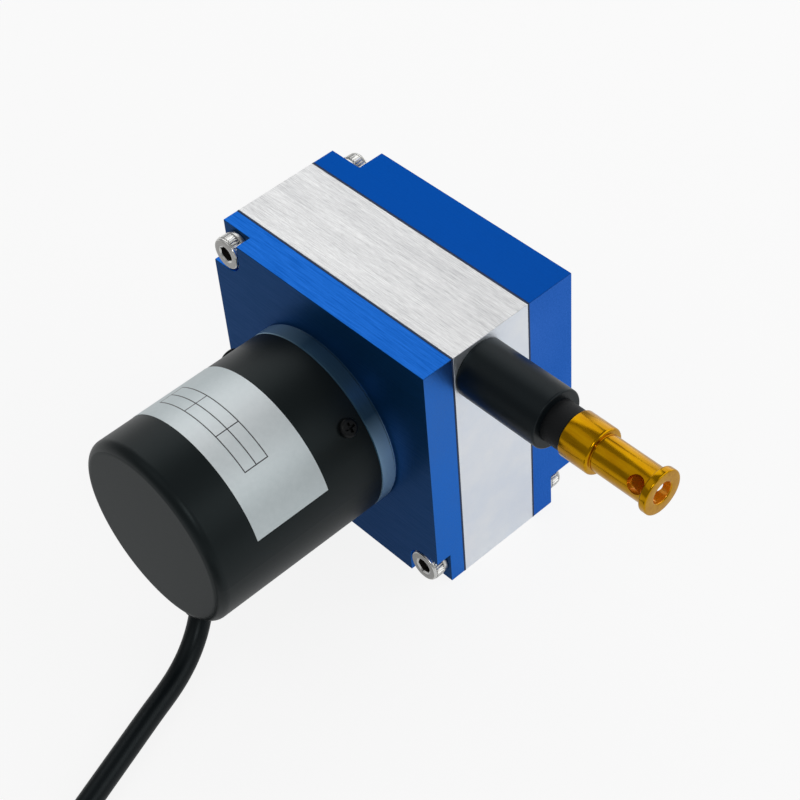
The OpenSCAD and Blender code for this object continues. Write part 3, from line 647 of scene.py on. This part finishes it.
# Across and up from the spindle axis, and how far each is screwed round, in radians
SCREWS = ((-SCREW_AT, SCREW_AT, -3.6), (-SCREW_AT, -SCREW_AT, -9.6), (SCREW_AT, -SCREW_AT, 4.4))


def knurl(angle):
    """Radius round a straight knurl with flat ridges and sharp grooves."""
    share = abs(2 * (angle * KNURLS / (2 * math.pi) % 1) - 1)
    return HEAD_R - KNURL_DEPTH * max(0, share - KNURL_RIDGE) / (1 - KNURL_RIDGE)


def socket(angle):
    """Radius round the hexagon socket."""
    return SOCKET_FLATS / 2 / math.cos(angle % (math.pi / 3) - math.pi / 6)


def cap_screw(place):
    """Screw with its seat at 0 and its head towards positive along."""
    shank = [(-SHANK_L, 0), (-SHANK_L, SHANK_R - SHANK_BEVEL), (SHANK_BEVEL - SHANK_L, SHANK_R),
             (0, SHANK_R)]
    knurled = [(0, HEAD_R - FOOT_BEVEL), (0.16 * MM, HEAD_R - KNURL_DEPTH), (KNURL_FROM, knurl),
               (KNURL_TO, knurl)]
    rim = [(1.93 * MM, GROOVE_R), (2.05 * MM, GROOVE_R), (2.12 * MM, RIM_R), (2.3 * MM, RIM_R),
           (2.5 * MM, RIM_R - 0.08 * MM), (2.63 * MM, RIM_R - 0.22 * MM), (HEAD_H, RIM_R - 0.42 * MM)]
    hole = [(HEAD_H, 2.05 * MM), (HEAD_H - 0.06 * MM, 1.9 * MM), (HEAD_H - 0.3 * MM, socket),
            (SOCKET_FLOOR, socket), (1.1 * MM, 1.1 * MM), (0.7 * MM, 0)]
    return turned(shank + knurled + rim + hole, place, steps=KNURLS * 8)


WASHER_OUTER, WASHER_INNER = 3.4 * MM, 2.1 * MM
WASHER_NICK = 0.12 * MM
WASHER_SLIT = math.radians(17)
WASHER_SLANT = math.radians(14)     # how far the slit leans round over the washer's thickness


def spring_washer(place, thickness):
    """Split ring from 0 to its thickness, with its edges and its cut ends slanted."""
    outer, inner, nick = WASHER_OUTER, WASHER_INNER, WASHER_NICK
    section = [(0, inner + nick), (nick, inner), (thickness - nick, inner), (thickness, inner + nick),
               (thickness, outer - nick), (thickness - nick, outer), (nick, outer), (0, outer - nick)]
    steps, sides = 72, len(section)
    verts = [place(along, radius, WASHER_SLIT / 2 + (2 * math.pi - WASHER_SLIT) * i / steps
                   + WASHER_SLANT * along / thickness)
             for i in range(steps + 1) for along, radius in section]
    faces = [(i * sides + k, i * sides + (k + 1) % sides, (i + 1) * sides + (k + 1) % sides,
              (i + 1) * sides + k) for i in range(steps) for k in range(sides)]
    faces += [tuple(range(sides))[::-1], tuple(range(steps * sides, (steps + 1) * sides))]
    return verts, faces


def screw_place(screw, start, towards):
    """Place function of a screw or its washer, from start towards -Y or +Y."""
    x, z, twist = screw
    return lambda along, radius, angle: (
        x + radius * math.cos(angle + twist), start + towards * along,
        AXIS_Z + z + radius * math.sin(angle + twist))


def paint_socket_shade(mesh):
    """Gives the faces inside the hexagon sockets the second finish, a dark painted shade."""
    mesh.materials.append(finishes["socket_painted_shade"])
    for polygon in mesh.polygons:
        centre = polygon.center
        off_axis = min(math.hypot(centre.x - x, centre.z - AXIS_Z - z) for x, z, _ in SCREWS)
        wall = off_axis < SOCKET_R and abs(polygon.normal.y) < SOCKET_WALL
        if wall or off_axis < SOCKET_MIDDLE:
            polygon.material_index = 1


def screw_set(plate, towards):
    """Three cap screws of a plate on their spring washers, with heads towards -Y or +Y."""
    low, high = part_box(plate + "_washers")
    seat, foot = (low.y, high.y) if towards < 0 else (high.y, low.y)
    screws = [cap_screw(screw_place(screw, seat, towards)) for screw in SCREWS]
    washers = [spring_washer(screw_place(screw, foot, towards), high.y - low.y) for screw in SCREWS]
    for kind, parts in (("screws", screws), ("washers", washers)):
        turned_set = piece(f"{plate}_{kind}_turned", parts, finishes["screw_steel"], "housing",
                           SCREW_SHARP)
        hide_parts(f"{plate}_{kind}")
        if kind == "screws":
            paint_socket_shade(turned_set.data)


screw_set("front", -1)
screw_set("back", 1)


# ---- terminal: shoulder, neck with its cross hole, and end flange ----

TERMINAL_L = terminal_high.x - terminal_low.x
SHOULDER_L, SHOULDER_R = 6.8 * MM, 4.8 * MM
NECK_R = 3.75 * MM
FLANGE_AT, FLANGE_R = 18.8 * MM, 4.65 * MM
BORE_AT, BORE_R = 10.3 * MM, 2.25 * MM
FERRULE_AT, FERRULE_R = 4 * MM, 1.9 * MM        # the socket in which the wire's ferrule turns
WIRE_HOLE_R = 0.6 * MM
CROSS_R = 1.8 * MM
CROSS_FROM_END = 3.5 * MM
CROSS_WAY = Vector((0, -0.8434, 0.5373))


def outlet_point(x):
    return Vector((x, OUTLET_Y, OUTLET_Z))


def terminal_place(along, radius, angle):
    """Point round the outlet axis, along from the terminal's shoulder."""
    return (terminal_low.x + along, OUTLET_Y + radius * math.cos(angle),
            OUTLET_Z + radius * math.sin(angle))


terminal_profile = rounded([
    (0, WIRE_HOLE_R, 0), (0, SHOULDER_R, 0.35 * MM), (SHOULDER_L, SHOULDER_R, 0.55 * MM),
    (SHOULDER_L, NECK_R, 0.12 * MM), (FLANGE_AT, NECK_R, 0.15 * MM),
    (FLANGE_AT, FLANGE_R, 0.3 * MM), (TERMINAL_L, FLANGE_R, 0.3 * MM),
    (TERMINAL_L, BORE_R, 0.3 * MM), (BORE_AT, BORE_R, 0), (BORE_AT, FERRULE_R, 0),
    (FERRULE_AT, FERRULE_R, 0), (FERRULE_AT, WIRE_HOLE_R, 0)])
terminal = piece("gold_terminal", [turned(terminal_profile, terminal_place, steps=160)],
                 finishes["gold_anodised"], "terminal")
cross_at = outlet_point(terminal_high.x - CROSS_FROM_END)
cross_reach = CROSS_WAY * 10 * MM
drilled(terminal, cross_at - cross_reach, cross_at + cross_reach, CROSS_R)
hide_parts("wire_terminal")


# ---- measuring wire ----

WIRE_R = 0.3 * MM
STRETCH_FROM, STRETCH_TO = 45 * MM, 58 * MM     # the part that grows as the wire is drawn out

spans = ((wire_low.x, STRETCH_FROM, 4), (STRETCH_FROM, STRETCH_TO, 24), (STRETCH_TO, wire_high.x, 1))
wire_line = [outlet_point(start + (end - start) * k / steps)
             for start, end, steps in spans for k in range(steps)]
wire_line.append(outlet_point(wire_high.x))
wire = piece("measuring_wire", [swept(wire_line, WIRE_R, sides=16)], finishes["stainless_steel"],
             "housing")
wire.parent = None      # it runs between two bodies and rides on neither
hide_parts("draw_wire")
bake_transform(wire)


# ---- label on the can ----

LABEL_T = 0.05 * MM
LABEL_R = CAN_R + 0.06 * MM
LABEL_START, LABEL_END = 33.2 * MM, 50.4 * MM           # in front of the frame's middle
LABEL_FROM, LABEL_TO = 15.9, 165                        # degrees round the can
LABEL_STEPS = 96
ROWS_AT = [along * MM for along in (40.8, 43.5, 46.2)]          # ruled lines of the label's table
COLUMNS_AT = [math.radians(angle) for angle in (51, 75.3, 101, 126)]
LINE_W = 0.22 * MM
# painted highlight band: its middle and its half width round the can
PAINTED_HIGHLIGHT_AT, PAINTED_HIGHLIGHT_REACH = math.radians(76), math.radians(38)


def label_mesh():
    """Thin band bent round the can."""
    section = ((LABEL_START, LABEL_R), (LABEL_END, LABEL_R), (LABEL_END, LABEL_R - LABEL_T),
               (LABEL_START, LABEL_R - LABEL_T))
    verts, faces = [], []
    for i in range(LABEL_STEPS + 1):
        angle = math.radians(LABEL_FROM + (LABEL_TO - LABEL_FROM) * i / LABEL_STEPS)
        verts += [(radius * math.cos(angle), -along, AXIS_Z + radius * math.sin(angle))
                  for along, radius in section]
    for i in range(LABEL_STEPS):
        for k in range(4):
            a, b = i * 4 + k, i * 4 + (k + 1) % 4
            faces.append((a, b, b + 4, a + 4))
    faces += [(0, 1, 2, 3), tuple(LABEL_STEPS * 4 + k for k in (3, 2, 1, 0))]
    return verts, faces


def lines_at(value, places):
    """1 on thin lines across the value at those places, else 0."""
    lines = [(value - place).size() < LINE_W / 2 for place in places]
    return sum(lines[1:], lines[0])


def label_foil():
    """Pearly foil, mottled and with a painted highlight band round the can, and a plain ruled table.
    """
    foil = Finish("label_foil", (0.62, 0.63, 0.64), 0.35, 0.45)
    along = 0 - foil.axis(1)
    angle = foil.node("ShaderNodeMath", {"operation": "ARCTAN2"},
                      {0: foil.axis(2) - AXIS_Z, 1: foil.axis(0)})
    round_can = angle * CAN_R
    columns = [column * CAN_R for column in COLUMNS_AT]
    in_rows = (along > ROWS_AT[0] - LINE_W / 2) * (along < ROWS_AT[-1] + LINE_W / 2)
    in_columns = (round_can > columns[0] - LINE_W / 2) * (round_can < columns[-1] + LINE_W / 2)
    lines = lines_at(along, ROWS_AT) + lines_at(round_can, columns)
    ink = (lines * in_rows * in_columns).at_most(1)
    mottle = foil.grain((900, 900, 900), 3, 0.6)
    # painted highlight: a bright band round the can
    painted_highlight_band = (1 - (angle - PAINTED_HIGHLIGHT_AT).size() / PAINTED_HIGHLIGHT_REACH).at_least(0)
    mottle_and_highlight = (mottle * 0.4 + painted_highlight_band * 0.8).at_most(1)
    bare = foil.mixed(mottle_and_highlight, (0.6, 0.68, 0.7), (0.86, 0.92, 0.94))
    foil.set("Base Color", foil.mixed(ink, bare, (0.03, 0.03, 0.035)))
    foil.set("Metallic", 0.35 - ink * 0.3)
    foil.set("Roughness", between(mottle, 0.38, 0.5))
    foil.rough(mottle, 6, 0.3)
    return foil.material


piece("blank_label", [label_mesh()], label_foil(), "housing")


# ---- cable: its route to the coil ----

CABLE_D = 4.6 * MM
EXIT = Vector((4.9, -55.5, 10.4)) * MM
EXIT_WAY = Vector((0.233, -0.597, -0.767)).normalized()
cable_route = [Vector(p) * MM for p in (
    (4.1, -53.2, 13.6), (4.9, -55.5, 10.4), (5.5, -57.2, 8.1), (6.8, -59.8, 5.6),
    (8.3, -63.1, 3.7), (9.8, -66.8, 2.6), (11.4, -71, 2.3), (13.4, -77, 2.3),
    (15.5, -83, 2.3), (17.6, -89, 2.3), (19.7, -95, 2.3), (21.8, -101, 2.3),
    (23.9, -107, 2.3), (26.1, -113, 2.3), (28.5, -119.5, 2.3))]

# Rubber sleeve where it leaves the can
SLEEVE_BACK, SLEEVE_FRONT = -4 * MM, 3.4 * MM       # along the cable from the can's wall
SLEEVE_R, SLEEVE_BORE_R = 3.1 * MM, 2.32 * MM
exit_side = EXIT_WAY.cross(Vector((1, 0, 0))).normalized()
exit_up = EXIT_WAY.cross(exit_side)


def sleeve_place(along, radius, angle):
    return EXIT + EXIT_WAY * along + radius * (
        exit_side * math.cos(angle) + exit_up * math.sin(angle))


sleeve_profile = rounded([
    (SLEEVE_BACK, SLEEVE_BORE_R, 0), (SLEEVE_BACK, SLEEVE_R, 0.2 * MM),
    (SLEEVE_FRONT, SLEEVE_R, 0.55 * MM), (SLEEVE_FRONT, SLEEVE_BORE_R, 0.15 * MM)])
sleeve = piece("moulded_sleeve", [turned(sleeve_profile, sleeve_place, steps=64)],
               finishes["black_rubber"], "housing")
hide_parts("cable_sleeve")


# ---- cable: the coil of its spare length ----

COIL_CENTRE = Vector((61, -116, 0)) * MM
COIL_R = 27 * MM        # to the middle lane of three
COIL_START = 203        # degrees round the coil where the cable joins it
LANES_IN = (310, 670)   # degrees along the coil where it steps one lane in
LAYER_UP = 977          # where it climbs onto the first layer
LANES_OUT = (1425, 1785)
COIL_OFF = 1898         # where it leaves the coil and comes down
COIL_END = 1978
CHANGE = 50             # degrees that a change of lane takes
TIE_ANGLE = 75
TIE_REACH = 13          # degrees from the strap over which the cable rises onto it
TIE_LIFT = 0.85 * MM    # room for the strap under the bundle


def eased(share):
    share = min(max(share, 0), 1)
    return share * share * (3 - 2 * share)


def changed(turned_by, start):
    """Share of a change that is done after that many degrees, from 0 to 1."""
    return eased((turned_by - start) / CHANGE)


def coil_point(turned_by):
    """Middle of the cable after that many degrees round the coil.

    It makes three turns on the surface from outside in, then turns on top from inside out.
    """
    lane = 1 - sum(changed(turned_by, start) for start in LANES_IN)
    lane += sum(changed(turned_by, start) for start in LANES_OUT)
    layer = changed(turned_by, LAYER_UP)
    off = math.radians(90 * changed(turned_by, COIL_OFF))
    angle = COIL_START + turned_by
    radius = COIL_R + CABLE_D * (lane + math.sin(off))
    height = CABLE_D * (0.5 + layer - (1 - math.cos(off)))
    from_tie = (angle - TIE_ANGLE + 180) % 360 - 180
    height += TIE_LIFT * math.exp(-((from_tie / TIE_REACH) ** 2)) * math.cos(off)
    way = math.radians(angle)
    return COIL_CENTRE + Vector((radius * math.cos(way), radius * math.sin(way), height))


coil_line = [coil_point(turned_by) for turned_by in range(0, COIL_END + 1, 6)]
joining = smooth_line(cable_route + coil_line[:2])[:-4]     # up to where the coil starts
cable_line = joining + coil_line
cable = piece("signal_cable", [swept(cable_line, CABLE_D / 2, sides=20)], finishes["cable_jacket"],
              "housing")
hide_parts("cable", "cable_coil", "cable_tail")


# ---- cable: three bare cores at its end ----

CORE_D = 1.2 * MM
STRAND_D = 0.6 * CORE_D
STRAND_INSIDE, STRAND_BARE = 0.5 * MM, 1.6 * MM
# Along from the jacket's end in mm, spacing in core diameters, and share of the way down
CORE_ROUTE = ((-1, 1.02, 0), (2, 1.1, 0), (9, 1.9, 0.45), (15, 2.7, 0.95), (22, 3.4, 1))

tail_end = cable_line[-1]
tail_way = (cable_line[-1] - cable_line[-2]).normalized()
tail_side = tail_way.cross(Vector((0, 0, 1)))
way_down = Vector((0, 0, CORE_D / 2 - CABLE_D / 2))


def core(colour, row):
    """One core in its coloured insulation, fanned out to its row, with its bare strand."""
    line = smooth_line([
        tail_end + tail_way * reach * MM + tail_side * row * CORE_D * spacing + way_down * lowered
        for reach, spacing, lowered in CORE_ROUTE], 5)
    insulation = piece(f"core_{colour}", [swept(line, CORE_D / 2, sides=14)],
                       finishes[f"core_{colour}"], "housing")
    strand_line = [line[-1] - tail_way * STRAND_INSIDE, line[-1] + tail_way * STRAND_BARE]
    strand = piece(f"core_end_{colour}", [swept(strand_line, STRAND_D / 2, sides=12)],
                   finishes["brass"], "housing")
    return [insulation, strand]


cores = core("red", -1) + core("black", 0) + core("yellow", 1)
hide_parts("core_ends")


# ---- cable: the strap round the bundle ----

STRAP_T = 0.8 * MM
STRAP_W = 3.6 * MM
STRAP_GAP = 0.02 * MM
STRAP_STEPS = 96
HEAD_SIZE = (5 * MM, 5.2 * MM, 2.4 * MM)        # across the bundle, along it, and up
HEAD_SINK = 0.2 * MM                            # into the strap
END_SIZE = (7 * MM, STRAP_W, STRAP_T)
END_AT = 4.4 * MM                               # from the head's inner side
tie_dir = Vector((math.cos(math.radians(TIE_ANGLE)), math.sin(math.radians(TIE_ANGLE)), 0))
tie_along = Vector((-tie_dir.y, tie_dir.x, 0))
bundle = [(lane * CABLE_D, (layer + 0.5) * CABLE_D + TIE_LIFT)      # the turns where it passes
          for layer, lanes in ((0, (-1, 0, 1)), (1, (-1, 0))) for lane in lanes]


def hull(points):
    """Outline round flat points, counter-clockwise."""
    points = sorted(set(points))

    def half(ordered):
        kept = []
        for p in ordered:
            while len(kept) > 1 and ((kept[-1][0] - kept[-2][0]) * (p[1] - kept[-2][1])
                                     - (kept[-1][1] - kept[-2][1]) * (p[0] - kept[-2][0])) <= 0:
                kept.pop()
            kept.append(p)
        return kept[:-1]
    return half(points) + half(points[::-1])


def strap_outline(gap):
    """Outline at that distance from the bundle's cables."""
    r = CABLE_D / 2 + gap
    return hull([(round(x + r * math.cos(t), 9), round(y + r * math.sin(t), 9))
                 for x, y in bundle for t in (2 * math.pi * k / 40 for k in range(40))])


def reach_of(centre, ray, a, b):
    """Distance along a ray to the edge from a to b, or 0."""
    a, b = Vector(a) - centre, Vector(b) - centre
    edge = b - a
    turn = ray.x * edge.y - ray.y * edge.x
    if abs(turn) < 1e-12:
        return 0
    reach = (a.x * edge.y - a.y * edge.x) / turn
    share = (a.x * ray.y - a.y * ray.x) / turn
    return reach if reach > 0 and -0.001 <= share <= 1.001 else 0


def strap_mesh():
    """Flat band that follows the bundle's outline."""
    inner = strap_outline(STRAP_GAP)
    centre = Vector((sum(p[0] for p in inner), sum(p[1] for p in inner))) / len(inner)
    verts, faces = [], []
    for i in range(STRAP_STEPS):
        angle = 2 * math.pi * i / STRAP_STEPS
        ray = Vector((math.cos(angle), math.sin(angle)))
        reach = max(reach_of(centre, ray, a, b) for a, b in zip(inner, inner[1:] + inner[:1]))
        near, far = centre + ray * reach, centre + ray * (reach + STRAP_T)
        for flat, side in ((near, -1), (far, -1), (far, 1), (near, 1)):
            verts.append(COIL_CENTRE + tie_dir * (COIL_R + flat.x) + Vector((0, 0, flat.y))
                         + tie_along * side * STRAP_W / 2)
        for k in range(4):
            a, b = i * 4 + k, i * 4 + (k + 1) % 4
            onward = (i + 1) % STRAP_STEPS * 4
            faces.append((a, b, onward + (k + 1) % 4, onward + k))
    return verts, faces


tie = piece("cable_strap", [strap_mesh()], finishes["tie_nylon"], "housing")
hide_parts("cable_tie")
strap_top = max(y for _, y in strap_outline(0)) + STRAP_T
head_low = COIL_CENTRE + tie_dir * (COIL_R - CABLE_D) + Vector((0, 0, strap_top - HEAD_SINK))
head = dress("strap_head", block(head_low - tie_along * HEAD_SIZE[1] / 2, tie_dir, tie_along,
                                 HEAD_SIZE, 0.5 * MM),
             finishes["tie_nylon"], "housing")
end_low = head_low + tie_dir * END_AT - tie_along * STRAP_W / 2 + Vector((0, 0, STRAP_T))
strap_end = dress("strap_end", block(end_low, tie_dir, tie_along, END_SIZE, 0.25 * MM),
                  finishes["tie_nylon"], "housing")


# ---- lamps and surroundings ----

MIDDLE = Vector((0, -0.01, 0.03))
LAMP_REACH = 0.6
WORLD_LIGHT = 0.27

# Way from the middle, width and height, watts
SOFTBOXES = {
    "key_softbox": ((-0.6, 0.43, 0.7), (0.45, 0.45), 0.66),
    "left_softbox": ((-0.85, 0.45, 0.12), (0.5, 0.35), 0.25),
    "right_softbox": ((0.7, 0.5, 0.5), (0.4, 0.4), 0.6),
    "front_softbox": ((-0.3, -0.5, 0.8), (0.4, 0.4), 0.2),
    "eye_softbox": ((0.6, -0.38, 0.7), (0.12, 0.12), 0.4),
    "back_softbox": ((0.1, 0.95, 0.3), (0.7, 0.5), 1.2)}

for name, (way, (width, height), watts) in SOFTBOXES.items():
    light = bpy.data.lights.new(name, "AREA")
    light.shape, light.size, light.size_y = "RECTANGLE", width, height
    light.energy = watts
    lamp = bpy.data.objects.new(name, light)
    place = MIDDLE + Vector(way).normalized() * LAMP_REACH
    aim = (MIDDLE - place).to_track_quat("-Z", "Y")
    lamp.matrix_world = Matrix.Translation(place) @ aim.to_matrix().to_4x4()
    scene.collection.objects.link(lamp)

world = bpy.data.worlds.new("studio")
scene.world = world
world.use_nodes = True
world_light = world.node_tree.nodes["Background"]
world_light.inputs["Color"].default_value = (1, 1, 1, 1)
world_light.inputs["Strength"].default_value = WORLD_LIGHT


# ---- floor ----

FLOOR_WHITE, FLOOR_SHEEN = 0.87, 0.43       # shares of plain white that the eye and gloss see
FLOOR_REACH, FLOOR_DEPTH = 4, 0.1 * MM


def floor_finish():
    """Pale floor that keeps a shadow, glows nearly white to the eye and less so in gloss."""
    pale = Finish("floor", (0.9, 0.9, 0.9), 0, 0.9, 0.0)
    by_eye, by_gloss, through = (pale.node("ShaderNodeLightPath", out=f"Is {ray} Ray")
                                 for ray in ("Camera", "Glossy", "Transmission"))
    seen = (by_eye * FLOOR_WHITE).at_least(by_gloss * FLOOR_SHEEN).at_least(through * FLOOR_SHEEN)
    glow = pale.node("ShaderNodeEmission", {}, {"Color": (1, 1, 1, 1), "Strength": 1.0})
    shown = pale.node("ShaderNodeMixShader", {}, {
        0: seen, 1: Value(pale.tree, pale.shader.outputs[0]), 2: glow})
    surface = pale.tree.nodes["Material Output"].inputs["Surface"]
    pale.tree.links.new(shown.socket, surface)
    return pale.material


floor_corners = [(x * FLOOR_REACH, y * FLOOR_REACH, -FLOOR_DEPTH)
                 for x, y in ((-1, -1), (1, -1), (1, 1), (-1, 1))]
floor_mesh = mesh_of("floor", floor_corners, [(0, 1, 2, 3)])
floor_mesh.materials.append(floor_finish())
floor = bpy.data.objects.new("floor", floor_mesh)
scene.collection.objects.link(floor)

scene.view_settings.view_transform = "Standard"
